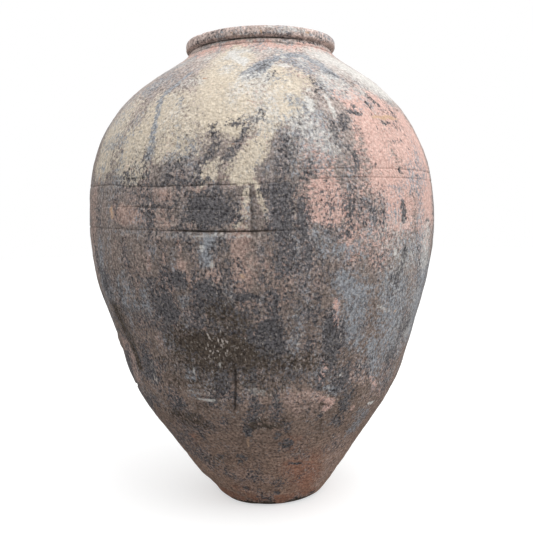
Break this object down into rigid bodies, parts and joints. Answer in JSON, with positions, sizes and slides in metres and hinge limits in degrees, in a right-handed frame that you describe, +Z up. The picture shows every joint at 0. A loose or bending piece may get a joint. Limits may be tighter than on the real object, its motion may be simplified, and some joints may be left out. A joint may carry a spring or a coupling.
{
  "type": "olive jar",
  "caption": "Tall weathered clay storage jar with a narrow flat base, a wide belly, fine seams, and a low rolled rim round an open mouth.",
  "frame": {"origin": "on the floor, under the middle of the flat base", "axes": "+Z up along the jar's axis, -Y towards the side that the picture shows"},
  "size_m": [0.6739, 0.674, 0.893],
  "materials": {
    "clay_foot": "rough unglazed clay, brown with dark soot and moss",
    "clay_body": "rough unglazed clay, smoke-grey over pinkish brown",
    "clay_shoulder": "rough unglazed clay, worn buff slip over salmon and grey",
    "clay_rim": "rough unglazed clay, brown-grey with chipped edges"
  },
  "bodies": {
    "root": {"base_disc": "clay_foot", "foot_cone": "clay_foot", "lower_wall": "clay_body", "belly_coil_1": "clay_body", "belly_coil_2": "clay_body", "belly_coil_3": "clay_body", "belly_coil_4": "clay_body", "shoulder": "clay_shoulder", "neck_collar": "clay_rim", "rim_roll": "clay_rim"}
  },
  "joints": []
}
